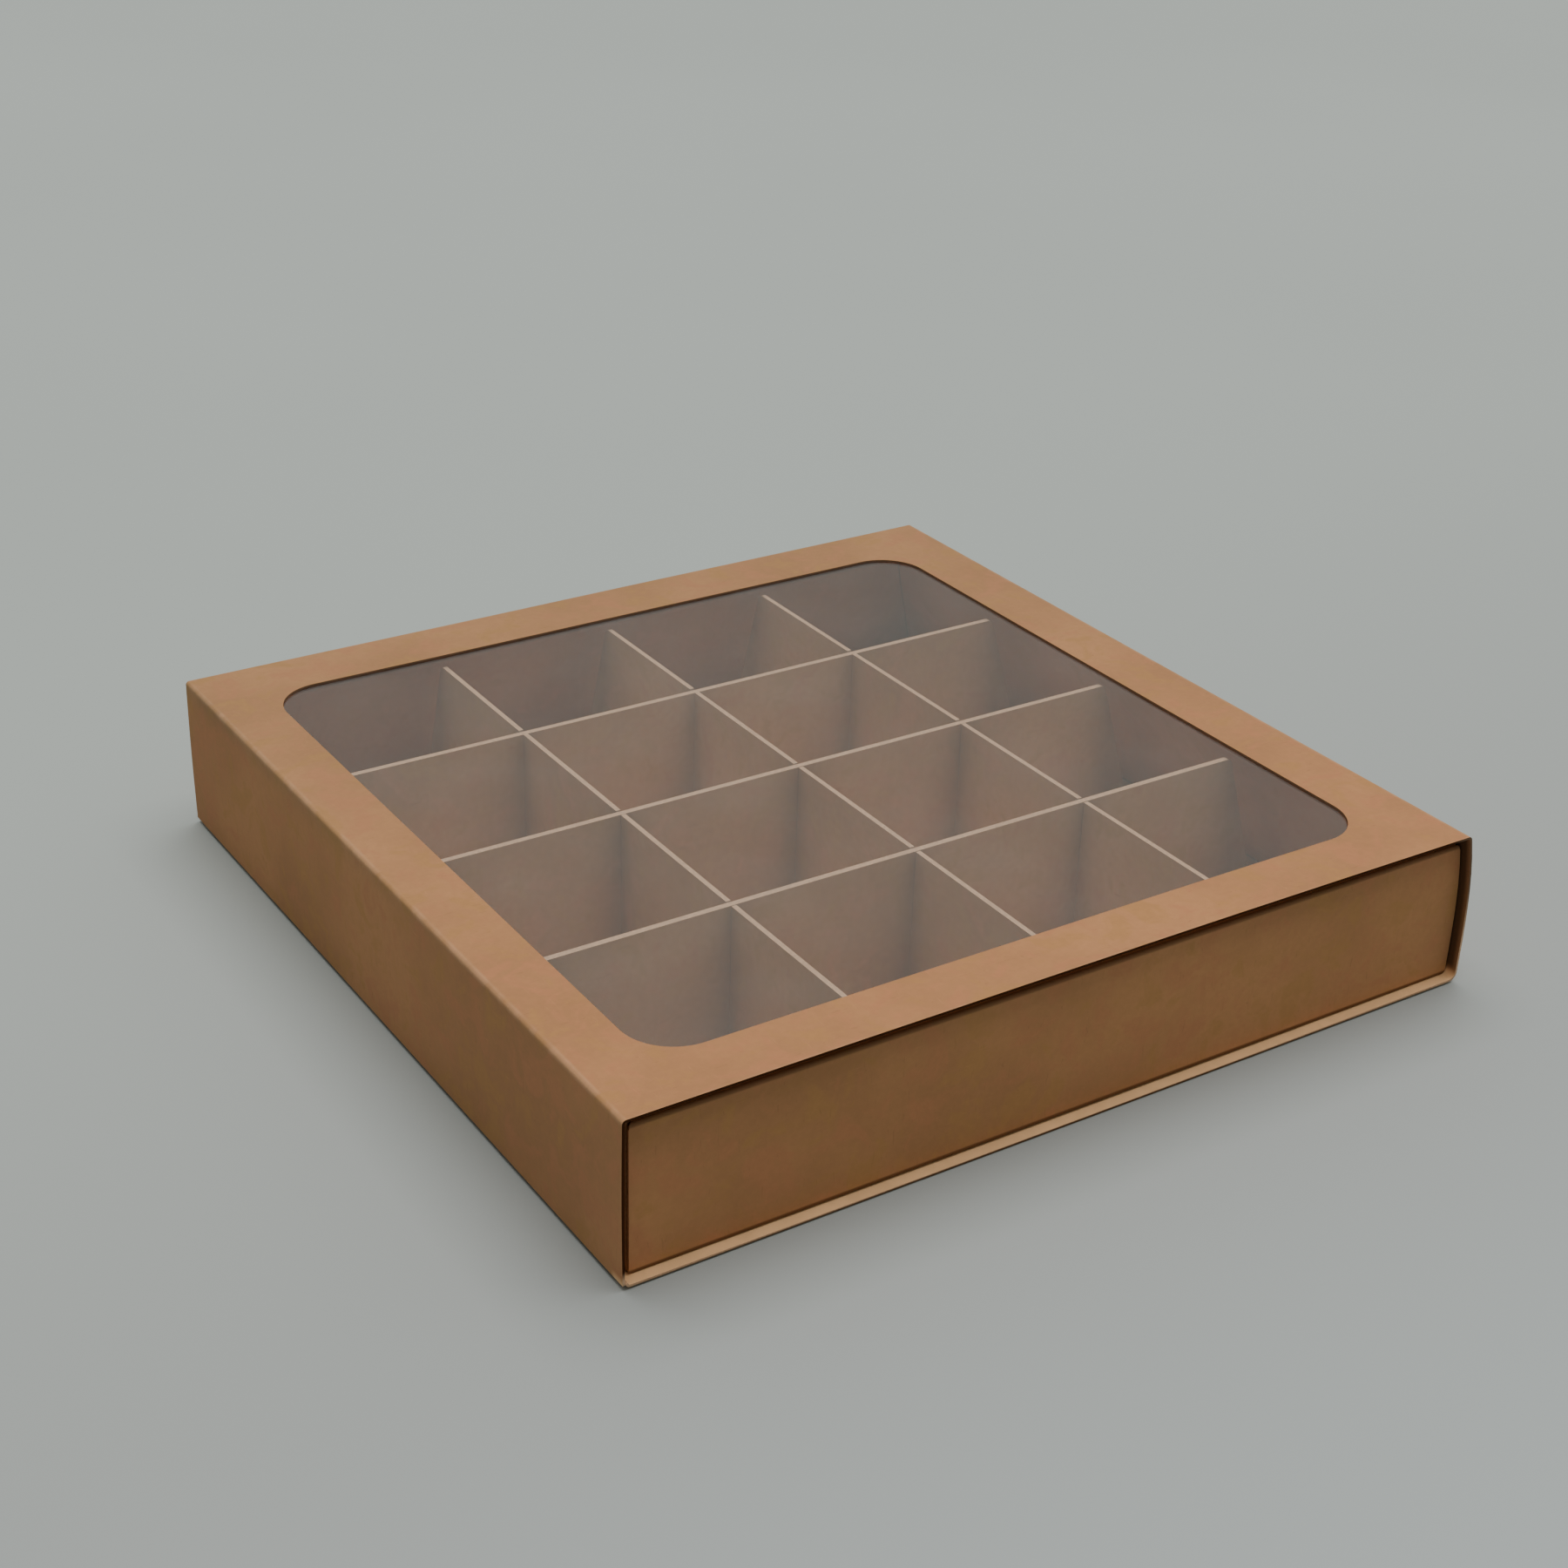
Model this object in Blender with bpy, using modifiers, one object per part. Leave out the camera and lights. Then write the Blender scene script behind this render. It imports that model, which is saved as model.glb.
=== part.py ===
"""A paperboard slide box: a windowed sleeve, a hollow-walled tray that slides in it, and a lattice of 4 x 4 cells.

Metres, +Z up. The origin is on the ground under the middle of the sleeve. The sleeve's open ends face -Y, the
front, and +Y, the rear, and the tray slides along Y. Each board is modelled folded, at its true thickness.
"""

import math

import bmesh
import bpy
from mathutils import Vector

# Sleeve
BOARD = 0.0005
SLEEVE_WIDTH = 0.200
SLEEVE_LENGTH = 0.200
SLEEVE_HEIGHT = 0.0357
SLEEVE_TOP_FOLD = 0.0008
SLEEVE_BOTTOM_FOLD = 0.0020
GLUE_FLAP_TOP = 0.016
SEAM_BOTTOM = 0.0012
GLUE_LINE = 0.0001

# Window in the top panel, and the film glued under it
WINDOW = 0.1712
WINDOW_CORNER = 0.011
WINDOW_SHIFT_X = -0.0010
WINDOW_SHIFT_Y = -0.0008
WINDOW_CUT_DEPTH = 0.004
FILM = 0.0002
FILM_LAP = 0.007
FILM_CORNER = 0.003

# Tray
TRAY_WIDTH = 0.1968
TRAY_LENGTH = 0.1970
TRAY_SHIFT_X = 0.0007
TRAY_RECESS = 0.0024
TRAY_TOP = 0.0330
TRAY_FOLD = 0.0008
RIM_FOLD = 0.0006
RIM_LEDGE = 0.0109
INNER_WALL_FOOT = 0.0013
MITRE_GAP = 0.00015
TAB_LENGTH = 0.018
TAB_BOTTOM = 0.005
TAB_TOP = 0.031
TAB_TAPER = 0.004

# Dividers
STRIP = 0.0009
STRIP_TOP = 0.0327
STRIP_HALF_LENGTH = 0.0846
STRIP_CORNER = 0.0012
CELL_PITCH = 0.0438
SLOT = 0.0021
SLOT_SHIFT = 0.00028
SLOT_PAST_MIDDLE = 0.0025

REST_GAP = 0.0003
FOLD_STEPS = 5
CORNER_STEPS = 10
WELD = 1e-6

KRAFT = (0.42, 0.24, 0.12)
KRAFT_DARK = (0.30, 0.17, 0.085)
KRAFT_PALE = (0.40, 0.27, 0.17)
BOARD_ROUGHNESS = 0.85
CLEAR = (0.9, 0.9, 0.9)
FILM_ROUGHNESS = 0.1
FILM_ALPHA = 0.2

half_width = TRAY_WIDTH / 2
half_length = TRAY_LENGTH / 2
tray_bottom = BOARD + REST_GAP
tray_floor = tray_bottom + BOARD
strip_bottom = tray_floor + REST_GAP
side_setback = BOARD + GLUE_LINE + RIM_FOLD
inner_wall_slope = (RIM_LEDGE - INNER_WALL_FOOT) / (TRAY_TOP - strip_bottom)


def clear_scene():
    for obj in list(bpy.data.objects):
        bpy.data.objects.remove(obj, do_unlink=True)


def new_collection(name):
    found = bpy.data.collections.new(name)
    bpy.context.scene.collection.children.link(found)
    return found


def new_material(name, colour, roughness, alpha=1.0):
    material = bpy.data.materials.new(name)
    material.use_nodes = True
    shader = material.node_tree.nodes["Principled BSDF"]
    shader.inputs["Base Color"].default_value = (*colour, 1.0)
    shader.inputs["Roughness"].default_value = roughness
    shader.inputs["Metallic"].default_value = 0.0
    shader.inputs["Alpha"].default_value = alpha
    return material


def new_object(name, data, place, material=None):
    obj = bpy.data.objects.new(name, data)
    place.objects.link(obj)
    if material:
        data.materials.append(material)
    return obj


def rounded_path(corners, radii):
    """The corners as a path of 2D points, each inner corner replaced by an arc of its radius."""
    corners = [Vector(corner) for corner in corners]
    path = [corners[0]]
    for before, corner, after, radius in zip(corners, corners[1:], corners[2:], radii):
        back = (before - corner).normalized()
        onward = (after - corner).normalized()
        half = back.angle(onward) / 2
        centre = corner + (back + onward).normalized() * radius / math.sin(half)
        first = (corner + back * radius / math.tan(half) - centre).normalized()
        last = (corner + onward * radius / math.tan(half) - centre).normalized()
        for step in range(FOLD_STEPS + 1):
            path.append(centre + first.slerp(last, step / FOLD_STEPS) * radius)
    path.append(corners[-1])
    return path


def add_panel(bm, rows):
    """Faces between each row of points and the next, seen from outside the fold."""
    rows = [[bm.verts.new(point) for point in row] for row in rows]
    for row, following in zip(rows, rows[1:]):
        bm.faces.new(row + following[::-1])


def folded_board(name, bm, place, material):
    """The sheet in bm is the board's outer face, and the board's thickness lies behind it."""
    bmesh.ops.remove_doubles(bm, verts=bm.verts, dist=WELD)
    mesh = bpy.data.meshes.new(name)
    bm.to_mesh(mesh)
    bm.free()
    obj = new_object(name, mesh, place, material)
    thicken = obj.modifiers.new("board", "SOLIDIFY")
    thicken.thickness = BOARD
    thicken.offset = -1.0
    thicken.use_even_offset = True
    return obj


def flat_plate(name, outline, thickness, place, material=None):
    """A closed outline, a list of (x, y), as a plate that is centred on its own XY plane."""
    curve = bpy.data.curves.new(name, "CURVE")
    curve.dimensions = "2D"
    curve.fill_mode = "BOTH"
    curve.extrude = thickness / 2
    spline = curve.splines.new("POLY")
    spline.points.add(len(outline) - 1)
    for point, (x, y) in zip(spline.points, outline):
        point.co = (x, y, 0.0, 1.0)
    spline.use_cyclic_u = True
    return new_object(name, curve, place, material)


def curve_to_mesh(curve_object):
    """The same plate as a mesh with its caps welded, which a Boolean can use."""
    name = curve_object.name
    place = curve_object.users_collection[0]
    bpy.context.view_layer.update()
    graph = bpy.context.evaluated_depsgraph_get()
    mesh = bpy.data.meshes.new_from_object(curve_object.evaluated_get(graph))
    matrix = curve_object.matrix_world.copy()
    bpy.data.objects.remove(curve_object, do_unlink=True)
    bm = bmesh.new()
    bm.from_mesh(mesh)
    bmesh.ops.remove_doubles(bm, verts=bm.verts, dist=WELD)
    bmesh.ops.recalc_face_normals(bm, faces=bm.faces)
    bm.to_mesh(mesh)
    bm.free()
    obj = new_object(name, mesh, place)
    obj.matrix_world = matrix
    return obj


def rounded_square(size, radius):
    half = size / 2 - radius
    outline = []
    for turn, (x, y) in enumerate(((half, half), (-half, half), (-half, -half), (half, -half))):
        for step in range(CORNER_STEPS + 1):
            angle = math.pi / 2 * (turn + step / CORNER_STEPS)
            outline.append((x + radius * math.cos(angle), y + radius * math.sin(angle)))
    return outline


def make_sleeve(place, cutters, material):
    """One board round the tray: glue flap, bottom, right wall, top and left wall, which laps over the flap."""
    half = SLEEVE_WIDTH / 2
    flap = -half + BOARD + GLUE_LINE
    path = rounded_path(
        [
            (flap, GLUE_FLAP_TOP),
            (flap, 0.0),
            (half, 0.0),
            (half, SLEEVE_HEIGHT),
            (-half, SLEEVE_HEIGHT),
            (-half, SEAM_BOTTOM),
        ],
        (SLEEVE_BOTTOM_FOLD, SLEEVE_BOTTOM_FOLD, SLEEVE_TOP_FOLD, SLEEVE_TOP_FOLD),
    )
    bm = bmesh.new()
    add_panel(bm, [[(x, sign * SLEEVE_LENGTH / 2, z) for sign in (-1, 1)] for x, z in path])
    sleeve = folded_board("sleeve", bm, place, material)

    window = flat_plate("window_cutter", rounded_square(WINDOW, WINDOW_CORNER), WINDOW_CUT_DEPTH, cutters)
    window.location = (WINDOW_SHIFT_X, WINDOW_SHIFT_Y, SLEEVE_HEIGHT)
    window = curve_to_mesh(window)
    window.hide_render = True
    window.display_type = "WIRE"
    cut = sleeve.modifiers.new("window", "BOOLEAN")
    cut.object = window
    cut.operation = "DIFFERENCE"
    cut.solver = "EXACT"


def make_film(place, material):
    outline = rounded_square(WINDOW + 2 * FILM_LAP, FILM_CORNER)
    film = flat_plate("window_film", outline, FILM, place, material)
    film.location = (WINDOW_SHIFT_X, WINDOW_SHIFT_Y, SLEEVE_HEIGHT - BOARD - GLUE_LINE - FILM / 2)


def tray_wall_path(half):
    """A tray wall's outer face in section, as (across, up): its outer wall, then its rim and sloping inner wall."""
    inner = half - RIM_LEDGE
    path = rounded_path(
        [
            (half - 2 * TRAY_FOLD, tray_bottom),
            (half, tray_bottom),
            (half, TRAY_TOP),
            (inner, TRAY_TOP),
            (half - INNER_WALL_FOOT, strip_bottom),
        ],
        (TRAY_FOLD, RIM_FOLD, RIM_FOLD),
    )[1:]
    wall = FOLD_STEPS + 2
    return path[:wall], path[wall:]


def end_wall_rows(turn):
    """The front and rear walls cover the tray's whole width, and their lower corners are trimmed."""
    wall, rim = tray_wall_path(half_length)
    rows = []
    for across, up in wall:
        reach = half_width - max(0.0, tray_bottom + TRAY_FOLD - up)
        rows.append([turn(across, -reach, up), turn(across, reach, up)])
    for across, up in rim:
        reach = half_width - (half_length - across) - MITRE_GAP
        rows.append([turn(across, -reach, up), turn(across, reach, up)])
    return rows


def side_wall_rows(turn):
    """The side walls stop inside the front and rear walls, with points where the corner tabs' edges leave them."""
    wall, rim = tray_wall_path(half_width)
    full = half_length - side_setback
    tab_edges = [Vector((half_width, TAB_BOTTOM)), Vector((half_width, TAB_TOP))]
    rows = []
    for across, up in wall[:-1] + tab_edges + wall[-1:]:
        rows.append([turn(across, -full, up), turn(across, full, up)])
    for across, up in rim:
        reach = min(full, half_length - (half_width - across) - MITRE_GAP)
        rows.append([turn(across, -reach, up), turn(across, reach, up)])
    return rows


def corner_tab_rows(turn, side):
    """The tab that a side wall folds round the corner into the hollow end wall, from the fold to its free edge."""
    end = half_length - BOARD - GLUE_LINE
    plan = rounded_path(
        [
            (half_width, 0.0),
            (half_width, end),
            (half_width - TAB_LENGTH, end),
        ],
        (RIM_FOLD,),
    )[1:]
    rows = []
    for x, y in plan:
        taper = TAB_TAPER if x < half_width - TAB_LENGTH / 2 else 0.0
        row = [turn(x, side * y, TAB_BOTTOM + taper), turn(x, side * y, TAB_TOP - taper)]
        rows.append(row[::-side])
    return rows


def make_tray(slider, place, material):
    """One board: the base, four outer walls, their ledges and sloping inner walls, and four corner tabs."""
    bm = bmesh.new()
    base_x = half_width - TRAY_FOLD
    base_y = half_length - TRAY_FOLD
    side_reach = half_length - side_setback
    outline = []
    for x, y in ((1, 1), (1, -1), (-1, -1), (-1, 1)):
        corner = [(x * base_x, y * base_y, tray_bottom), (x * base_x, y * side_reach, tray_bottom)]
        outline += corner[:: x * y]
    bm.faces.new([bm.verts.new(point) for point in outline])

    for quarter in range(4):
        cosine = round(math.cos(quarter * math.pi / 2))
        sine = round(math.sin(quarter * math.pi / 2))

        def turn(across, along, up):
            return (across * cosine - along * sine, across * sine + along * cosine, up)

        if quarter % 2:
            add_panel(bm, end_wall_rows(turn))
        else:
            add_panel(bm, side_wall_rows(turn))
            for side in (-1, 1):
                add_panel(bm, corner_tab_rows(turn, side))

    tray = folded_board("tray", bm, place, material)
    tray.parent = slider


def strip_outline(slots_from_top):
    """A divider strip seen flat: its ends lean like the tray's inner walls, and three slots take the other strips."""
    foot = STRIP_HALF_LENGTH + inner_wall_slope * (STRIP_TOP - strip_bottom)
    middle = (STRIP_TOP + strip_bottom) / 2
    if slots_from_top:
        mouth, end, shift = STRIP_TOP, middle - SLOT_PAST_MIDDLE, SLOT_SHIFT
    else:
        mouth, end, shift = strip_bottom, middle + SLOT_PAST_MIDDLE, -SLOT_SHIFT
    slots = []
    for cell in (-1, 0, 1):
        left = cell * CELL_PITCH + shift - SLOT / 2
        right = left + SLOT
        slots += [(left, mouth), (left, end), (right, end), (right, mouth)]
    top = rounded_path(
        [
            (foot, strip_bottom),
            (STRIP_HALF_LENGTH, STRIP_TOP),
            (-STRIP_HALF_LENGTH, STRIP_TOP),
            (-foot, strip_bottom),
        ],
        (STRIP_CORNER, STRIP_CORNER),
    )
    if slots_from_top:
        half = len(top) // 2
        return top[:half] + slots[::-1] + top[half:]
    return top + slots


def make_dividers(slider, place, material):
    for number, where in enumerate(("front", "middle", "rear")):
        strip = flat_plate("cross_divider_" + where, strip_outline(False), STRIP, place, material)
        strip.location = (0.0, (number - 1) * CELL_PITCH, 0.0)
        strip.rotation_euler = (math.pi / 2, 0.0, 0.0)
        strip.parent = slider
    for number, where in enumerate(("left", "middle", "right")):
        strip = flat_plate("long_divider_" + where, strip_outline(True), STRIP, place, material)
        strip.location = ((number - 1) * CELL_PITCH, 0.0, 0.0)
        strip.rotation_euler = (math.pi / 2, 0.0, math.pi / 2)
        strip.parent = slider


def main():
    clear_scene()
    parts = new_collection("slide_box")
    cutters = new_collection("cutters")
    make_sleeve(parts, cutters, new_material("kraft_sleeve", KRAFT, BOARD_ROUGHNESS))
    make_film(parts, new_material("clear_film", CLEAR, FILM_ROUGHNESS, FILM_ALPHA))

    slider = new_object("tray_slide", None, parts)
    slider.location = (TRAY_SHIFT_X, (TRAY_LENGTH - SLEEVE_LENGTH) / 2 + TRAY_RECESS, 0.0)
    make_tray(slider, parts, new_material("kraft_tray", KRAFT_DARK, BOARD_ROUGHNESS))
    make_dividers(slider, parts, new_material("divider_board", KRAFT_PALE, BOARD_ROUGHNESS))


main()
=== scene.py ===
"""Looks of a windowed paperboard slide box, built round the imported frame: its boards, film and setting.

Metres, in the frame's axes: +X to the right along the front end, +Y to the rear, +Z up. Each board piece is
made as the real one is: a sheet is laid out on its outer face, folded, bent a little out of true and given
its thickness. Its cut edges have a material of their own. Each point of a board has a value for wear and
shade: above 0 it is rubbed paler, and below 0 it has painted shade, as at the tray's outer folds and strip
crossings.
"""

import math

import bmesh
import bpy
from mathutils import Matrix, Vector, noise


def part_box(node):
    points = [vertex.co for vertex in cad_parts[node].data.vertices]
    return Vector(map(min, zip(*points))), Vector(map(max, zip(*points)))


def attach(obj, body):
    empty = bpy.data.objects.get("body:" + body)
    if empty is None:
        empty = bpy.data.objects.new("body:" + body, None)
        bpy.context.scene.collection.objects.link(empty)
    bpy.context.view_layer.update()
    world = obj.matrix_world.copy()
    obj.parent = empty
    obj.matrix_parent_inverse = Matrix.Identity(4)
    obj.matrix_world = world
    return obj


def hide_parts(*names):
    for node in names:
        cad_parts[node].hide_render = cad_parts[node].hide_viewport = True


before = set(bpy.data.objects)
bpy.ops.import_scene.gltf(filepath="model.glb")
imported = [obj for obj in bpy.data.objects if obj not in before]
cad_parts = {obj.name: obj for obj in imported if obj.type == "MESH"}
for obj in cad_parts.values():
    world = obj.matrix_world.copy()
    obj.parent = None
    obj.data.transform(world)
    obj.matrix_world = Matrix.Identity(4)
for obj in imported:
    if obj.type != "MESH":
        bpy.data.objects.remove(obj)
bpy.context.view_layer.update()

# Colours, as linear red, green and blue
KRAFT = (0.448, 0.214, 0.100)
TRAY_KRAFT = (0.489, 0.244, 0.112)
DIVIDER_KRAFT = (0.565, 0.335, 0.172)
# The next tone is painted light on the sleeve's lip.
LIT_LIP_TONE = (0.89, 0.55, 0.29)
PALE_EDGE = (0.66, 0.42, 0.26)
# The next two edge colours are painted shade on the sleeve's cut edges.
BROWN_EDGE = (0.19, 0.115, 0.070)
FRONT_EDGE_SHADE = (0.050, 0.016, 0.004)
TRAY_EDGE = (0.45, 0.235, 0.115)
PULP = (0.58, 0.365, 0.24)
WORN_KRAFT = (0.62, 0.40, 0.23)
FLOOR_DARK = (0.392, 0.422, 0.412)
FLOOR_PALE = (0.408, 0.438, 0.429)
# The next tone is a painted shadow on the floor beside the box.
FLOOR_SHADOW = (0.352, 0.370, 0.370)
FLOOR_FRONT = (0.402, 0.433, 0.443)
FILM_CLEAR = (0.985, 0.985, 0.98, 1.0)
FILM_HAZE = (0.75, 0.76, 0.75, 1.0)
ROOM_TINT = (0.93, 1.0, 0.935, 1.0)
SOFTBOX_TINT = (1.0, 0.975, 0.94)

# Boards and folds
BOARD = 0.0005
GLUE_LINE = 0.0001
FOLD_STEPS = 8
FOLD_SHOULDER = 0.0005
WALL_STEP = 0.0045
WELD = 1e-6
SMOOTH_ANGLE = math.radians(40)
WAVE_LENGTH = 0.07

# Painted shade on a board: the value below 0 that is darkest, and the share of the colour that is left
FOLD_DARKNESS = 2.0
RIM_FOLD_DARKNESS = 1.3
DARK_SHARE = 0.9
DARK_SHADE = 0.3
MOUTH_SHADE = 0.2

# Sleeve
SLEEVE_TOP_FOLD = 0.0008
SLEEVE_BOTTOM_FOLD = 0.0020
SEAM_FOLD = 0.0011
GLUE_FLAP_TOP = 0.016
SEAM_BOTTOM = 0.0008
WINDOW = 0.1712
WINDOW_CORNER = 0.011
BORDER_STEPS = 6
STRAIGHT_STEPS = 40
HALF_CORNER_STEPS = 8
FLAP_SETBACK = 0.0030
FLAP_TAPER = 0.3
LID_ARCH = 0.0003
LID_ARCH_REACH = 0.02
LID_WAVE = 0.00012
LEFT_BOW = 0.00015
LEFT_BOW_ZONE = 0.004
BULGE_TOP = 0.0003
BULGE_FOOT = 0.0024
BULGE_BOW = 0.00025
BULGE_CURVE = 3.5
BOTTOM_LIFT = 0.00035
BOTTOM_ZONE = 0.006
LIP_LIFT = 0.00015
LIP_REACH = 0.004

# Tray
TRAY_FOLD = 0.0008
RIM_FOLD = 0.0006
RIM_LEDGE = 0.0109
INNER_WALL_FOOT = 0.0013
TRAY_SNUG = -0.0001
TRAY_LEFT_IN = 0.0003
RIM_DIP = 0.0004
MITRE_GAP = 0.00015
ALONG_STEPS = 44

# Dividers
CROSS_STRIP = 0.00135
LONG_STRIP = 0.0011
STRIP_CORNER = 0.0012
SLOT = 0.0021
SLOT_SHIFT = 0.00028
SLOT_PAST_MIDDLE = 0.0025
CORNER_SHADE = 0.0060
LEFT_OVERHANG = 0.0020
CELL_PITCH = 0.0438
STRIP_HALF_TOP = 0.0846
STRIP_WAVE = 0.00015
STRIP_LOW_STEPS = 5
STRIP_HIGH_STEPS = 6
STRIP_CORNER_STEPS = 5
STRIP_CELL_STEPS = 10

# Film
FILM_IOR = 1.47
FILM_PRESS = 0.00022
FILM_STEPS = 48
FILM_ROUGHNESS = 0.06

# Floor and light
FLOOR_SIZE = 12.0
ROOM_BRIGHT_SIDE = math.radians(33)
ROOM_BEHIND = 0.52
ROOM_NEAR = 0.23
ROOM_TURN = (-0.25, 0.6)
ROOM_RISE = (0.2, 0.65)
HORIZON_SHARE = 0.46
ZENITH_SHARE = 1.45
SOFTBOX_SIZE = 6.0
SOFTBOX_HEIGHT = 6.0
SOFTBOX_POWER = 390.0
SOFTBOX_PLACE = (0.75, 0.5)

# Camera, as angles and a distance from its target
CAMERA_AZIMUTH = math.radians(-33.43)
CAMERA_ELEVATION = math.radians(27.17)
CAMERA_ROLL = math.radians(1.66)
CAMERA_DISTANCE = 0.6095
CAMERA_TARGET = Vector((0.0276, 0.0472, 0.0007))
CAMERA_LENS = 58.04
CAMERA_SENSOR = 36.0
CAMERA_CLIP = (0.01, 20.0)

_, sleeve_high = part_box("sleeve")
tray_low, tray_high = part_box("tray")
film_low, film_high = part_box("window_film")
strip_low, strip_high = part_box("long_divider_middle")
sleeve_half = sleeve_high.x
sleeve_end = sleeve_high.y
sleeve_height = sleeve_high.z
window_centre = (film_low.xy + film_high.xy) / 2
tray_centre = (tray_low + tray_high) / 2
tray_half_width = (tray_high.x - tray_low.x) / 2
tray_half_length = (tray_high.y - tray_low.y) / 2
tray_bottom = tray_low.z
tray_top = tray_high.z - RIM_DIP
strip_bottom = strip_low.z
strip_top = strip_high.z
strip_foot = (strip_high.y - strip_low.y) / 2


# Materials


class Nodes:
    """A material's node tree, with a call for each kind of node that the materials here use."""

    def __init__(self, name):
        self.material = bpy.data.materials.new(name)
        self.material.use_nodes = True
        self.tree = self.material.node_tree
        self.tree.nodes.clear()
        self.output = self.add("OutputMaterial")
        self.place = self.add("TexCoord").outputs["Object"]

    def add(self, kind, **settings):
        node = self.tree.nodes.new("ShaderNode" + kind)
        for name, value in settings.items():
            setattr(node, name, value)
        return node

    def link(self, source, target):
        self.tree.links.new(source, target)

    def feed(self, socket, value):
        if isinstance(value, bpy.types.NodeSocket):
            self.link(value, socket)
        else:
            socket.default_value = value

    def stretched(self, scale, turn=(0.0, 0.0, 0.0)):
        mapping = self.add("Mapping")
        self.link(self.place, mapping.inputs["Vector"])
        mapping.inputs["Scale"].default_value = scale
        mapping.inputs["Rotation"].default_value = turn
        return mapping.outputs["Vector"]

    def noise(self, scale, detail=3.0, roughness=0.5, place=None, distortion=0.0):
        node = self.add("TexNoise")
        self.link(place or self.place, node.inputs["Vector"])
        node.inputs["Scale"].default_value = scale
        node.inputs["Detail"].default_value = detail
        node.inputs["Roughness"].default_value = roughness
        node.inputs["Distortion"].default_value = distortion
        return node.outputs["Fac"]

    def spread(self, value, low, high, to_low=0.0, to_high=1.0):
        node = self.add("MapRange", interpolation_type="SMOOTHSTEP")
        self.link(value, node.inputs["Value"])
        numbers = (("From Min", low), ("From Max", high), ("To Min", to_low), ("To Max", to_high))
        for name, number in numbers:
            node.inputs[name].default_value = number
        return node.outputs["Result"]

    def maths(self, operation, first, second):
        node = self.add("Math", operation=operation)
        self.feed(node.inputs[0], first)
        self.feed(node.inputs[1], second)
        return node.outputs["Value"]

    def mix(self, factor, first, second, blend="MIX"):
        node = self.add("Mix", data_type="RGBA", blend_type=blend)
        self.feed(node.inputs["Factor"], factor)
        for socket, value in ((node.inputs[6], first), (node.inputs[7], second)):
            self.feed(socket, value if isinstance(value, bpy.types.NodeSocket) else (*value, 1.0))
        return node.outputs[2]

    def separated(self):
        node = self.add("SeparateXYZ")
        self.link(self.place, node.inputs[0])
        return tuple(node.outputs)

    def facing_left(self):
        """1 on a face that looks to the object's left, and 0 on one that doesn't."""
        node = self.add("SeparateXYZ")
        self.link(self.add("TexCoord").outputs["Normal"], node.inputs[0])
        return self.spread(node.outputs[0], -0.8, -0.5, 1.0, 0.0)

    def attribute(self, name):
        return self.add("Attribute", attribute_name=name).outputs["Fac"]

    def bump(self, height, distance, strength=1.0, normal=None):
        node = self.add("Bump")
        self.link(height, node.inputs["Height"])
        node.inputs["Distance"].default_value = distance
        node.inputs["Strength"].default_value = strength
        if normal:
            self.link(normal, node.inputs["Normal"])
        return node.outputs["Normal"]


def shade(colour, factor):
    return tuple(part * factor for part in colour)


def sleeve_tone(nodes, tone, colour, lip, patches):
    """The sleeve's board, with painted light and shade: lighter and bluer where faces look left, painted
    shade inside its mouth, a painted sheen that turns the top cooler to the rear, and a lip painted pale as
    painted light.
    """
    x, y, z = nodes.separated()
    # Painted light: faces that look left are made lighter and bluer.
    faces_left = nodes.facing_left()
    painted_side_light = nodes.mix(1.0, tone, (1.05, 1.12, 1.16), "MULTIPLY")
    tone = nodes.mix(faces_left, tone, painted_side_light)
    # Painted shade on the right wall's inner face, inside the sleeve's mouth.
    inward = nodes.maths("MULTIPLY", faces_left, nodes.spread(x, 0.090, 0.094))
    deeper = nodes.spread(y, -0.1, -0.0985, 0.4, 0.95)
    mouth = nodes.maths("MULTIPLY", deeper, nodes.spread(y, -0.096, -0.088, 1.0, 0.0))
    inward = nodes.maths("MULTIPLY", inward, nodes.spread(z, 0.0015, 0.0040))
    tone = nodes.mix(nodes.maths("MULTIPLY", inward, mouth), tone, shade(colour, MOUTH_SHADE))
    # Painted sheen: the top turns cooler and less red toward the rear.
    painted_sheen = nodes.mix(1.0, tone, (0.87, 0.95, 1.0), "MULTIPLY")
    sheen_share = nodes.maths("MULTIPLY", nodes.spread(y, -0.10, 0.10), nodes.spread(z, 0.030, 0.035))
    tone = nodes.mix(sheen_share, tone, painted_sheen)
    # Painted light: the lip at the front of the bottom panel is made pale, as if well lit.
    front = nodes.spread(y, -0.0975, -0.0955, 1.0, 0.0)
    share = nodes.maths("MULTIPLY", front, nodes.spread(z, 0.0011, 0.0030, 1.0, 0.0))
    pale = nodes.mix(nodes.spread(patches, 0.35, 0.65), shade(lip, 0.90), lip)
    return nodes.mix(share, tone, pale)


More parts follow.
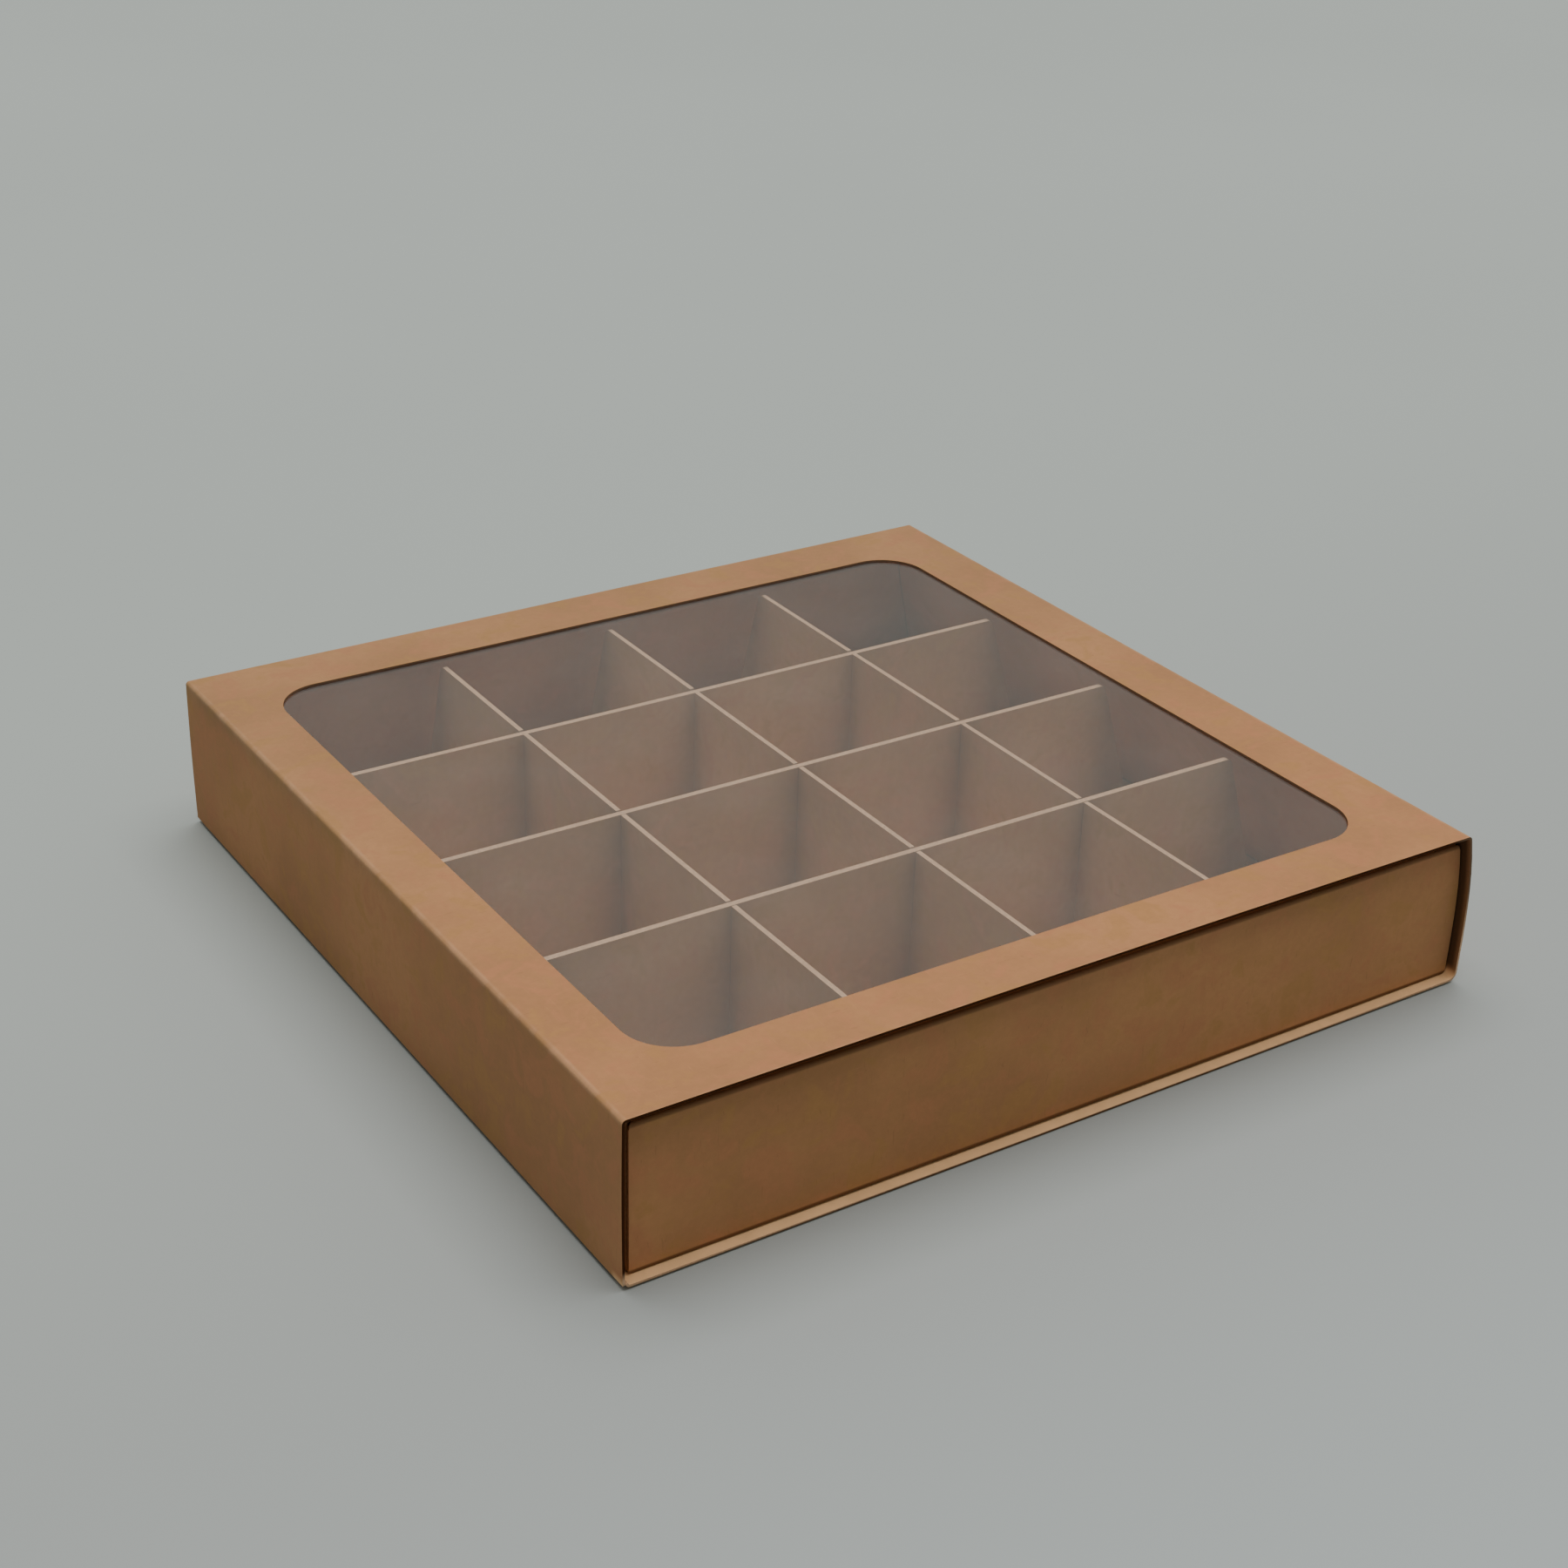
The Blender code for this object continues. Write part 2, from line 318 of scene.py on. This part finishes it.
def board_material(name, colour, grain, lip=None):
    """Kraft board: soft clouds, mottling, fibres along the grain, flecks, rubbed folds, and painted shade
    where its value is below 0.
    """
    nodes = Nodes(name)
    along = [1.0, 1.0, 1.0]
    along[grain] = 0.09
    fibre_place = nodes.stretched(along)
    cross_place = nodes.stretched([1.0 if part < 1.0 else 0.16 for part in along], (0.35, 0.3, 0.4))

    clouds = nodes.noise(26.0, 3.0, 0.55)
    patches = nodes.noise(115.0, 3.0, 0.6, distortion=0.6)
    mottle = nodes.noise(620.0, 4.0, 0.62)
    fibres = nodes.noise(2600.0, 3.0, 0.6, fibre_place, 0.4)
    stray_fibres = nodes.noise(2100.0, 2.0, 0.5, cross_place, 0.8)

    tone = nodes.mix(nodes.spread(clouds, 0.35, 0.68), shade(colour, 0.91), shade(colour, 1.08))
    warmer = (colour[0] * 1.04, colour[1] * 0.95, colour[2] * 1.0)
    tone = nodes.mix(nodes.spread(patches, 0.50, 0.66, 0.0, 0.8), tone, warmer)
    yellower = (colour[0] * 0.97, colour[1] * 1.01, colour[2] * 0.88)
    tone = nodes.mix(nodes.spread(patches, 0.34, 0.48, 0.8, 0.0), tone, yellower)
    mottled = nodes.mix(1.0, tone, (0.95, 0.945, 0.93), "MULTIPLY")
    tone = nodes.mix(nodes.spread(mottle, 0.38, 0.66), mottled, tone)
    tone = nodes.mix(nodes.spread(fibres, 0.60, 0.80, 0.0, 0.30), tone, shade(colour, 1.28))
    tone = nodes.mix(nodes.spread(stray_fibres, 0.24, 0.36, 0.34, 0.0), tone, shade(colour, 0.66))
    wear_and_shade = nodes.attribute("wear_and_shade")
    rubbed = nodes.maths("MULTIPLY", wear_and_shade, nodes.spread(patches, 0.35, 0.65, 0.04, 0.26))
    tone = nodes.mix(rubbed, tone, WORN_KRAFT)
    # Painted shade: where the value is below 0, the colour is darkened.
    dim = nodes.spread(wear_and_shade, -FOLD_DARKNESS, 0.0, DARK_SHARE, 0.0)
    tone = nodes.mix(dim, tone, shade(colour, DARK_SHADE))
    if lip:
        tone = sleeve_tone(nodes, tone, colour, lip, patches)

    relief = nodes.maths("ADD", nodes.maths("MULTIPLY", fibres, 0.7), nodes.maths("MULTIPLY", mottle, 0.9))
    normal = nodes.bump(relief, 0.00005, 0.55)
    normal = nodes.bump(patches, 0.00012, 0.35, normal)

    shader = nodes.add("BsdfPrincipled")
    nodes.link(tone, shader.inputs["Base Color"])
    nodes.link(nodes.spread(mottle, 0.3, 0.7, 0.74, 0.88), shader.inputs["Roughness"])
    nodes.link(normal, shader.inputs["Normal"])
    shader.inputs["Specular IOR Level"].default_value = 0.15
    nodes.link(shader.outputs["BSDF"], nodes.output.inputs["Surface"])
    return nodes.material


def cut_edge_tone(nodes, colour):
    """The pulp's fine layers, and the colour that they give the edge."""
    pulp = nodes.noise(1500.0, 4.0, 0.65)
    crush = nodes.noise(180.0, 2.0, 0.5)
    tone = nodes.mix(nodes.spread(pulp, 0.35, 0.68), shade(colour, 0.86), shade(colour, 1.10))
    return pulp, nodes.mix(nodes.spread(crush, 0.40, 0.70, 0.0, 0.45), tone, shade(colour, 0.80))


def edge_shader(nodes, tone, pulp):
    shader = nodes.add("BsdfPrincipled")
    nodes.link(tone, shader.inputs["Base Color"])
    shader.inputs["Roughness"].default_value = 0.9
    shader.inputs["Specular IOR Level"].default_value = 0.1
    nodes.link(nodes.bump(pulp, 0.00008, 0.8), shader.inputs["Normal"])
    nodes.link(shader.outputs["BSDF"], nodes.output.inputs["Surface"])
    return nodes.material


def cut_edge_material(name, colour):
    """The cut edge of the board: pulp in fine layers, with fibres standing out of it."""
    nodes = Nodes(name)
    pulp, tone = cut_edge_tone(nodes, colour)
    return edge_shader(nodes, tone, pulp)


def sleeve_edge_material(name, pale, brown, front_shade):
    """The sleeve's cut edges: pale low down and on the right wall's lower part, and painted shade above:
    brown at the window and on the right, near black in front, with a painted contact shadow along the
    underside.
    """
    nodes = Nodes(name)
    pulp, pale_tone = cut_edge_tone(nodes, pale)
    x, y, z = nodes.separated()
    # Painted shade: above its lowest part the edge is brown, and near black in front.
    dark_tone = nodes.mix(nodes.spread(y, -0.0996, -0.0980), front_shade, brown)
    right = nodes.spread(x, 0.095, 0.099)
    dark_tone = nodes.mix(right, dark_tone, brown)
    spared = nodes.maths("MULTIPLY", right, nodes.spread(z, 0.010, 0.024, 1.0, 0.0))
    kept = nodes.maths("SUBTRACT", 1.0, spared)
    darkness = nodes.maths("MULTIPLY", nodes.spread(z, 0.0020, 0.0042), kept)
    # Painted contact shadow: the lowest part of each edge is darkened.
    underside = nodes.spread(z, 0.0004, 0.0007, 0.85, 0.0)
    darkness = nodes.maths("MAXIMUM", darkness, underside)
    return edge_shader(nodes, nodes.mix(darkness, pale_tone, dark_tone), pulp)


def film_material(name):
    """Clear film: it lets through all that it doesn't mirror, with a trace of haze."""
    nodes = Nodes(name)
    clear = nodes.add("BsdfTransparent")
    clear.inputs["Color"].default_value = FILM_CLEAR
    mirror = nodes.add("BsdfAnisotropic")
    mirror.inputs["Color"].default_value = (1.0, 1.0, 1.0, 1.0)
    mirror.inputs["Roughness"].default_value = FILM_ROUGHNESS
    ripple = nodes.bump(nodes.noise(22.0, 2.0, 0.4), 0.0006, 0.25)
    nodes.link(ripple, mirror.inputs["Normal"])
    fresnel = nodes.add("Fresnel")
    back = nodes.add("NewGeometry").outputs["Backfacing"]
    nodes.link(nodes.spread(back, 0.0, 1.0, FILM_IOR, 1 / FILM_IOR), fresnel.inputs["IOR"])
    haze = nodes.add("BsdfDiffuse")
    haze.inputs["Color"].default_value = FILM_HAZE
    dusty = nodes.add("MixShader")
    dust = nodes.spread(nodes.noise(40.0, 4.0, 0.6), 0.3, 0.8, 0.004, 0.016)
    nodes.link(dust, dusty.inputs["Fac"])
    nodes.link(clear.outputs[0], dusty.inputs[1])
    nodes.link(haze.outputs[0], dusty.inputs[2])
    glossy = nodes.add("MixShader")
    nodes.link(fresnel.outputs[0], glossy.inputs["Fac"])
    nodes.link(dusty.outputs[0], glossy.inputs[1])
    nodes.link(mirror.outputs[0], glossy.inputs[2])
    nodes.link(glossy.outputs[0], nodes.output.inputs["Surface"])
    return nodes.material


def floor_material(name):
    """A pale matt floor, a little dimmer beside the box."""
    nodes = Nodes(name)
    clouds = nodes.spread(nodes.noise(1.6, 3.0, 0.5), 0.35, 0.65)
    tone = nodes.mix(clouds, FLOOR_DARK, FLOOR_PALE)
    _, y, _ = nodes.separated()
    # Painted shadow on the floor around the box, which gives way to a slightly bluer floor tone in front.
    tone = nodes.mix(nodes.spread(y, -0.16, 0.20, 1.0, 0.0), tone, FLOOR_SHADOW)
    tone = nodes.mix(nodes.spread(y, -0.27, -0.08, 1.0, 0.0), tone, FLOOR_FRONT)
    shader = nodes.add("BsdfPrincipled")
    nodes.link(tone, shader.inputs["Base Color"])
    shader.inputs["Roughness"].default_value = 0.7
    shader.inputs["Specular IOR Level"].default_value = 0.15
    nodes.link(shader.outputs["BSDF"], nodes.output.inputs["Surface"])
    return nodes.material


# Sheets


def rounded_path(corners, radii):
    """The corners as a path of 2D points, each with its value for wear and shade. Inner corners become arcs
    with the value 1: rubbed folds.
    """
    corners = [Vector(corner) for corner in corners]
    path = [(corners[0], 0.0)]
    for before, corner, after, radius in zip(corners, corners[1:], corners[2:], radii):
        back = (before - corner).normalized()
        onward = (after - corner).normalized()
        half = back.angle(onward) / 2
        run = radius / math.tan(half)
        centre = corner + (back + onward).normalized() * radius / math.sin(half)
        first = (corner + back * run - centre).normalized()
        last = (corner + onward * run - centre).normalized()
        path.append((corner + back * (run + FOLD_SHOULDER), 0.0))
        for step in range(FOLD_STEPS + 1):
            path.append((centre + first.slerp(last, step / FOLD_STEPS) * radius, 1.0))
        path.append((corner + onward * (run + FOLD_SHOULDER), 0.0))
    path.append((corners[-1], 0.0))
    return path


def filled_in(path):
    """The same path with points added so that no step is longer than WALL_STEP."""
    full = [path[0]]
    for (start, wear_and_shade), (end, wear_and_shade_end) in zip(path, path[1:]):
        count = max(1, math.ceil((end - start).length / WALL_STEP))
        for step in range(1, count + 1):
            share = step / count
            full.append((start.lerp(end, share), wear_and_shade + (wear_and_shade_end - wear_and_shade) * share))
    return full


class Sheet:
    """The outer face of a folded board, drawn as rows of points, each with its value for wear and shade."""

    def __init__(self):
        self.bm = bmesh.new()
        self.wear_and_shade = self.bm.verts.layers.float.new("wear_and_shade")

    def point(self, place, wear_and_shade=0.0):
        vert = self.bm.verts.new(place)
        vert[self.wear_and_shade] = wear_and_shade
        return vert

    def panel(self, rows):
        """Faces between each row and the next. A row is a list of (place, value for wear and shade)."""
        rows = [[self.point(*spot) for spot in row] for row in rows]
        for row, following in zip(rows, rows[1:]):
            for side in range(len(row) - 1):
                self.bm.faces.new((row[side], row[side + 1], following[side + 1], following[side]))

    def piece(self, name, thickness, materials, bend=None, offset=-1.0):
        """Welds the panels, bends them, gives them the board's thickness and returns the finished piece."""
        bmesh.ops.remove_doubles(self.bm, verts=self.bm.verts, dist=WELD)
        if bend:
            for vert in self.bm.verts:
                vert.co += bend(vert.co)
        mesh = bpy.data.meshes.new(name)
        self.bm.to_mesh(mesh)
        self.bm.free()
        flat = bpy.data.objects.new(name + "_sheet", mesh)
        bpy.context.scene.collection.objects.link(flat)
        for material in materials:
            mesh.materials.append(material)
        thicken = flat.modifiers.new("board", "SOLIDIFY")
        thicken.thickness = thickness
        thicken.offset = offset
        thicken.use_even_offset = True
        thicken.material_offset_rim = len(materials) - 1
        return finished(flat, name)


def finished(draft, name):
    """The evaluated shape of a draft object as a plain mesh object, smooth between its sharp edges."""
    bpy.context.view_layer.update()
    graph = bpy.context.evaluated_depsgraph_get()
    mesh = bpy.data.meshes.new_from_object(draft.evaluated_get(graph))
    mesh.transform(draft.matrix_world)
    bpy.data.objects.remove(draft, do_unlink=True)
    mesh.shade_smooth()
    mesh.set_sharp_from_angle(angle=SMOOTH_ANGLE)
    obj = bpy.data.objects.new(name, mesh)
    bpy.context.scene.collection.objects.link(obj)
    return obj


def wave(x, y, seed):
    """A smooth random height from -1 to 1 that changes over about WAVE_LENGTH."""
    return noise.noise(Vector((x / WAVE_LENGTH, y / WAVE_LENGTH, seed)))


def within(share):
    return min(1.0, max(0.0, share))


# Sleeve and film


def lid_rise(x, y):
    """How far the top panel and the film are from flat: the front border arches up, with soft waves."""
    across = 1 - min(1.0, abs(x) / sleeve_half) ** 2
    front = math.exp(-(y + sleeve_end) / LID_ARCH_REACH)
    return (LID_ARCH * front + LID_WAVE * wave(x, y, 3.0)) * across


def right_bulge(z):
    """How far the tray pushes the sleeve's right wall out at this height."""
    share = within(z / sleeve_height)
    return BULGE_TOP + BULGE_FOOT * (1 - share**BULGE_CURVE) + BULGE_BOW * math.sin(math.pi * share)


def sleeve_bend(place):
    """The right wall is pushed out, the left one bows a little, and the top and the bottom aren't flat."""
    x, y, z = place
    dx = within((x / sleeve_half + 1) / 2) * right_bulge(z)
    if x < -sleeve_half + LEFT_BOW_ZONE:
        dx -= LEFT_BOW * math.sin(math.pi * within(z / sleeve_height))
    upper = max(0.0, 2 * z / sleeve_height - 1)
    lower = max(0.0, 1 - z / BOTTOM_ZONE)
    lip = math.exp(-(y + sleeve_end) / LIP_REACH)
    dz = upper * lid_rise(x, y) + lower * (BOTTOM_LIFT * (x / sleeve_half) ** 2 + LIP_LIFT * lip)
    return Vector((dx, 0.0, dz))


def border_pairs():
    """Points round the window's edge, each with the point of the top panel's outline that it joins."""
    inner_half = WINDOW / 2
    straight = inner_half - WINDOW_CORNER
    flat_half = sleeve_half - SLEEVE_TOP_FOLD
    pairs = []
    for quarter in range(4):
        reach, limit = (flat_half, sleeve_end) if quarter % 2 == 0 else (sleeve_end, flat_half)
        spots = []
        for step in range(STRAIGHT_STEPS):
            along = straight * (2 * step / STRAIGHT_STEPS - 1)
            spots.append(((inner_half, along), (reach, along)))
        for step in range(2 * HALF_CORNER_STEPS):
            share = step / HALF_CORNER_STEPS
            angle = share * math.pi / 4
            inner = (straight + WINDOW_CORNER * math.cos(angle), straight + WINDOW_CORNER * math.sin(angle))
            if share < 1:
                outer = (reach, straight + (limit - straight) * share)
            else:
                outer = (reach - (reach - straight) * (share - 1), limit)
            spots.append((inner, outer))
        turn = Matrix.Rotation(quarter * math.pi / 2, 2)
        for inner, outer in spots:
            pairs.append((turn @ Vector(inner) + window_centre, turn @ Vector(outer)))
    return pairs


def flap_trim(z):
    """The glue flap's share of the sleeve's length at this height, as its ends are cut on a slant."""
    return 1 - (FLAP_SETBACK + FLAP_TAPER * z) / sleeve_end


def make_sleeve(materials):
    flat_half = sleeve_half - SLEEVE_TOP_FOLD
    pairs = border_pairs()
    along = sorted({round(outer.y, 7) for _, outer in pairs if outer.x > flat_half - WELD})
    flap = -sleeve_half + BOARD + GLUE_LINE
    path = rounded_path(
        [
            (flap, GLUE_FLAP_TOP),
            (flap, 0.0),
            (sleeve_half, 0.0),
            (sleeve_half, sleeve_height),
            (-sleeve_half, sleeve_height),
            (-sleeve_half, SEAM_BOTTOM),
        ],
        (SEAM_FOLD, SLEEVE_BOTTOM_FOLD, SLEEVE_TOP_FOLD, SLEEVE_TOP_FOLD),
    )
    fold = FOLD_STEPS + 3
    lid = 1 + 3 * fold
    sheet = Sheet()
    for part in (path[: lid - 1], path[lid + 1 :]):
        rows = []
        for (x, z), wear_and_shade in filled_in(part):
            tucked = flap_trim(z) if abs(x - flap) < WELD else 1.0
            rows.append([((x, y * tucked, z), wear_and_shade) for y in along])
        sheet.panel(rows)
    ring = []
    for inner, outer in pairs + pairs[:1]:
        shoulder = FOLD_SHOULDER / (outer - inner).length
        shares = [step / BORDER_STEPS * (1 - shoulder) for step in range(BORDER_STEPS + 1)]
        row = [(inner.lerp(outer, share), 0.0) for share in shares] + [(outer, 1.0)]
        ring.append([((spot.x, spot.y, sleeve_height), wear_and_shade) for spot, wear_and_shade in row])
    sheet.panel(ring)
    sleeve = sheet.piece("sleeve_board", BOARD, materials, sleeve_bend)
    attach(sleeve, "sleeve")
    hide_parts("sleeve")


def make_film(material):
    top = film_high.z + FILM_PRESS
    sheet = Sheet()
    rows = []
    for j in range(FILM_STEPS + 1):
        y = film_low.y + (film_high.y - film_low.y) * j / FILM_STEPS
        row = []
        for i in range(FILM_STEPS + 1):
            x = film_low.x + (film_high.x - film_low.x) * i / FILM_STEPS
            row.append(((x, y, top + lid_rise(x, y)), 0.0))
        rows.append(row)
    sheet.panel(rows)
    film = sheet.piece("film_pane", film_high.z - film_low.z, [material])
    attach(film, "sleeve")
    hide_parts("window_film")


# Tray


def tray_wall_path(half):
    """A tray wall's outer face in section: its outer wall, then its rim and its sloping inner wall."""
    path = rounded_path(
        [
            (half - 2 * TRAY_FOLD, tray_bottom),
            (half, tray_bottom),
            (half, tray_top),
            (half - RIM_LEDGE, tray_top),
            (half - INNER_WALL_FOOT, strip_bottom),
        ],
        (TRAY_FOLD, RIM_FOLD, RIM_FOLD),
    )
    start = 1
    rim = start + FOLD_STEPS + 4
    after_fold = rim + FOLD_STEPS + 1
    # Painted shade: the bottom fold and the rim's outer fold get values below 0, which darken them.
    wall = [(spot, -FOLD_DARKNESS * wear_and_shade) for spot, wear_and_shade in path[start:rim]]
    outer_fold = [(spot, -RIM_FOLD_DARKNESS * wear_and_shade) for spot, wear_and_shade in path[rim - 1 : after_fold]]
    return wall, outer_fold + path[after_fold:]


def tray_bend(place):
    """The tray's right wall follows the bulge of the sleeve, and its left wall is a touch further in."""
    x, _, z = place
    inner = tray_half_width - RIM_LEDGE
    rightward = within((x - inner) / RIM_LEDGE)
    leftward = within((-x - inner) / RIM_LEDGE)
    return Vector((rightward * (right_bulge(z) + TRAY_SNUG) + leftward * TRAY_LEFT_IN, 0.0, 0.0))


def crosswise(turn, across, up, reach, wear_and_shade):
    """A row of points along a tray wall, from one end to the other."""
    start = turn @ Vector((across, -reach, up))
    end = turn @ Vector((across, reach, up))
    return [(start.lerp(end, step / ALONG_STEPS), wear_and_shade) for step in range(ALONG_STEPS + 1)]


def make_tray(materials):
    sheet = Sheet()
    full = tray_half_length - (BOARD + GLUE_LINE + RIM_FOLD)
    outline = []
    for quarter in range(4):
        turn = Matrix.Rotation(quarter * math.pi / 2, 3, "Z")
        ends = quarter % 2 == 1
        half, other = tray_half_width, tray_half_length
        if ends:
            half, other = other, half
        wall, rim = tray_wall_path(half)
        rows = []
        for (across, up), wear_and_shade in filled_in(wall):
            reach = other - max(0.0, tray_bottom + TRAY_FOLD - up) if ends else full
            rows.append(crosswise(turn, across, up, reach, wear_and_shade))
        outline += [spot for spot, _ in rows[0]]
        rim_rows = []
        for (across, up), wear_and_shade in filled_in(rim):
            reach = other - (half - across) - MITRE_GAP
            reach = reach if ends else min(full, reach)
            rim_rows.append(crosswise(turn, across, up, reach, wear_and_shade))
        sheet.panel(rows)
        sheet.panel(rim_rows)
    sheet.bm.faces.new([sheet.point(spot) for spot in reversed(outline)])
    tray = sheet.piece("tray_board", BOARD, materials, tray_bend)
    tray.location = (tray_centre.x, tray_centre.y, 0.0)
    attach(tray, "tray")
    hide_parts("tray")


# Dividers


def corner_shade(along):
    """How dim a strip's face is here, from 0 to 1: dimmest where another strip crosses it."""
    nearest = min(abs(along - cell * CELL_PITCH) for cell in (-2, -1, 0, 1, 2))
    return math.exp(-nearest / CORNER_SHADE)


def make_strip(name, place, turn, slots_from_top, thickness, materials, bow):
    """One strip: a grid of faces, with none where a slot is, that leans and bows a little out of true."""
    middle = (strip_top + strip_bottom) / 2
    if slots_from_top:
        slot_low, slot_high, shift = middle - SLOT_PAST_MIDDLE, strip_top, SLOT_SHIFT
    else:
        slot_low, slot_high, shift = strip_bottom, middle + SLOT_PAST_MIDDLE, -SLOT_SHIFT
    edges = []
    for cell in (-1, 0, 1):
        edges += [cell * CELL_PITCH + shift + side * SLOT / 2 for side in (-1, 1)]
    lean = (strip_foot - STRIP_HALF_TOP) / (strip_top - strip_bottom)

    def end_at(z):
        reach = STRIP_HALF_TOP + lean * (strip_top - z)
        below = z - (strip_top - STRIP_CORNER)
        if below > 0:
            reach -= STRIP_CORNER - math.sqrt(max(0.0, STRIP_CORNER**2 - below**2))
        return reach

    cut = slot_low if slots_from_top else slot_high
    knee = strip_top - STRIP_CORNER
    heights = []
    for step in range(STRIP_LOW_STEPS):
        heights.append(strip_bottom + (cut - strip_bottom) * step / STRIP_LOW_STEPS)
    for step in range(STRIP_HIGH_STEPS):
        heights.append(cut + (knee - cut) * step / STRIP_HIGH_STEPS)
    for step in range(STRIP_CORNER_STEPS + 1):
        heights.append(knee + STRIP_CORNER * math.sin(math.pi / 2 * step / STRIP_CORNER_STEPS))

    sheet = Sheet()
    bounds = [-1.0] + edges + [1.0]
    for number, (left, right) in enumerate(zip(bounds, bounds[1:])):
        in_slot = number % 2 == 1
        count = 1 if in_slot else STRIP_CELL_STEPS
        rows = []
        for z in heights:
            if in_slot and slot_low - WELD < z - WELD < slot_high and not abs(z - cut) < WELD:
                continue
            longer = 0.0
            if not slots_from_top:
                longer = LEFT_OVERHANG * (z - strip_bottom) / (strip_top - strip_bottom)
            low, high = max(left, -end_at(z) - longer), min(right, end_at(z))
            places = [low + (high - low) * step / count for step in range(count + 1)]
            # Painted shade near the crossings, given as a value below 0.
            rows.append([((along, 0.0, z), -corner_shade(along)) for along in places])
        if len(rows) > 1:
            sheet.panel(rows)

    def bend(spot):
        along, _, up = spot
        height = (up - strip_bottom) / (strip_top - strip_bottom)
        ends = 1 - (along / strip_foot) ** 2
        seed = 11 * bow * 1000
        return Vector((0.0, bow * ends * height + STRIP_WAVE * wave(along, up, seed) * ends, 0.0))

    strip = sheet.piece(name + "_board", thickness, materials, bend, offset=0.0)
    strip.data.transform(Matrix.Translation(place) @ turn)
    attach(strip, "tray")
    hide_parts(name)


def make_dividers(materials):
    for number, (where, bow) in enumerate((("front", 0.0002), ("middle", 0.0001), ("rear", -0.0002))):
        place = Vector((tray_centre.x, tray_centre.y + (number - 1) * CELL_PITCH, 0.0))
        name = "cross_divider_" + where
        make_strip(name, place, Matrix.Identity(4), False, CROSS_STRIP, materials, bow)
    for number, (where, bow) in enumerate((("left", 0.0002), ("middle", -0.0001), ("right", 0.0002))):
        place = Vector((tray_centre.x + (number - 1) * CELL_PITCH, tray_centre.y, 0.0))
        turn = Matrix.Rotation(math.pi / 2, 4, "Z")
        make_strip("long_divider_" + where, place, turn, True, LONG_STRIP, materials, bow)


# Floor, light and camera


def make_floor():
    mesh = bpy.data.meshes.new("floor")
    bm = bmesh.new()
    bmesh.ops.create_grid(bm, x_segments=1, y_segments=1, size=FLOOR_SIZE / 2)
    bm.to_mesh(mesh)
    bm.free()
    floor = bpy.data.objects.new("floor", mesh)
    bpy.context.scene.collection.objects.link(floor)
    mesh.materials.append(floor_material("pale_floor"))


def make_light():
    """A large softbox overhead, in a room that is pale behind the object and dim on the near side."""
    world = bpy.data.worlds.new("studio")
    bpy.context.scene.world = world
    world.use_nodes = True
    tree = world.node_tree
    direction = tree.nodes.new("ShaderNodeTexCoord").outputs["Generated"]

    def ramp(axis, *numbers):
        along = tree.nodes.new("ShaderNodeVectorMath")
        along.operation = "DOT_PRODUCT"
        along.inputs[1].default_value = axis
        tree.links.new(direction, along.inputs[0])
        ramped = tree.nodes.new("ShaderNodeMapRange")
        tree.links.new(along.outputs["Value"], ramped.inputs["Value"])
        for name, number in zip(("From Min", "From Max", "To Min", "To Max"), numbers):
            ramped.inputs[name].default_value = number
        return ramped.outputs["Result"]

    strength = tree.nodes.new("ShaderNodeMath")
    strength.operation = "MULTIPLY"
    bright_side = (math.cos(ROOM_BRIGHT_SIDE), math.sin(ROOM_BRIGHT_SIDE), 0.0)
    tree.links.new(ramp(bright_side, *ROOM_TURN, ROOM_NEAR, ROOM_BEHIND), strength.inputs[0])
    tree.links.new(ramp((0.0, 0.0, 1.0), *ROOM_RISE, HORIZON_SHARE, ZENITH_SHARE), strength.inputs[1])
    background = tree.nodes["Background"]
    background.inputs["Color"].default_value = ROOM_TINT
    tree.links.new(strength.outputs["Value"], background.inputs["Strength"])

    lamp = bpy.data.lights.new("softbox", "AREA")
    lamp.shape = "SQUARE"
    lamp.size = SOFTBOX_SIZE
    lamp.energy = SOFTBOX_POWER
    lamp.color = SOFTBOX_TINT
    softbox = bpy.data.objects.new("softbox", lamp)
    softbox.location = (*SOFTBOX_PLACE, SOFTBOX_HEIGHT)
    bpy.context.scene.collection.objects.link(softbox)


def make_camera():
    azimuth, elevation = CAMERA_AZIMUTH, CAMERA_ELEVATION
    back = Vector(
        (
            math.sin(azimuth) * math.cos(elevation),
            -math.cos(azimuth) * math.cos(elevation),
            math.sin(elevation),
        )
    )
    right = Vector((math.cos(azimuth), math.sin(azimuth), 0.0))
    up = back.cross(right)
    rolled_right = right * math.cos(CAMERA_ROLL) + up * math.sin(CAMERA_ROLL)
    rolled_up = back.cross(rolled_right)
    lens = bpy.data.cameras.new("camera")
    lens.lens = CAMERA_LENS
    lens.sensor_width = CAMERA_SENSOR
    lens.clip_start, lens.clip_end = CAMERA_CLIP
    camera = bpy.data.objects.new("camera", lens)
    bpy.context.scene.collection.objects.link(camera)
    turn = Matrix((rolled_right, rolled_up, back)).transposed().to_4x4()
    camera.matrix_world = Matrix.Translation(CAMERA_TARGET + back * CAMERA_DISTANCE) @ turn
    bpy.context.scene.camera = camera


make_camera()
make_light()
make_floor()
sleeve_kraft = board_material("kraft_sleeve", KRAFT, grain=1, lip=LIT_LIP_TONE)
tray_kraft = board_material("kraft_tray", TRAY_KRAFT, grain=0)
divider_kraft = board_material("kraft_divider", DIVIDER_KRAFT, grain=2)
make_sleeve([sleeve_kraft, sleeve_edge_material("sleeve_edge", PALE_EDGE, BROWN_EDGE, FRONT_EDGE_SHADE)])
make_film(film_material("clear_film"))
make_tray([tray_kraft, cut_edge_material("tray_edge", TRAY_EDGE)])
make_dividers([divider_kraft, cut_edge_material("strip_edge", PULP)])
